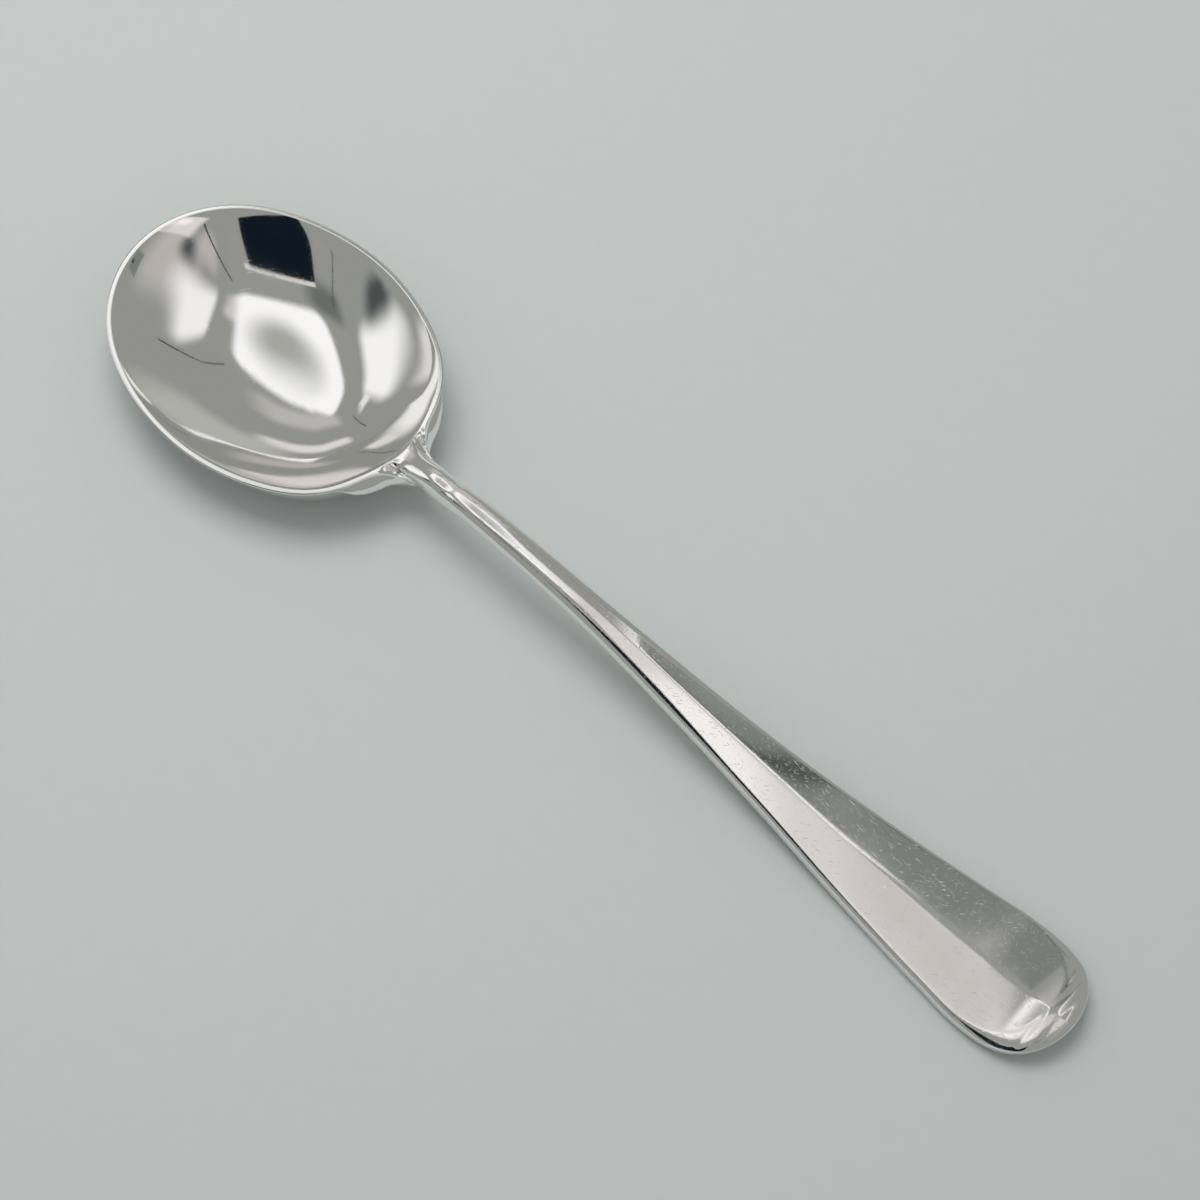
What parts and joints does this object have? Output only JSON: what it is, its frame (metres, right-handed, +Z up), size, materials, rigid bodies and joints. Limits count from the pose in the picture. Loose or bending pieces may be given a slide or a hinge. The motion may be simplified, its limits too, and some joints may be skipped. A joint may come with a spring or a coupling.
{
  "type": "soup spoon",
  "caption": "Polished silver soup spoon with a deep oval bowl, a round stem rising from the heel and a ridged handle with a rounded upturned end.",
  "frame": {"origin": "on the surface the spoon rests on, under the middle of its length and on its plane of symmetry", "axes": "+X from the bowl to the handle end, +Y across the spoon, +Z up out of the bowl"},
  "size_m": [0.178, 0.0422, 0.0121],
  "materials": {
    "bowl_silver": "polished sterling silver with fine wear",
    "drop_silver": "polished sterling silver",
    "hard_solder": "polished hard silver solder",
    "handle_silver": "polished sterling silver with short fine scratches"
  },
  "bodies": {
    "root": {"bowl": "bowl_silver", "heel_drop": "drop_silver", "solder_seam": "hard_solder", "handle": "handle_silver"}
  },
  "joints": []
}
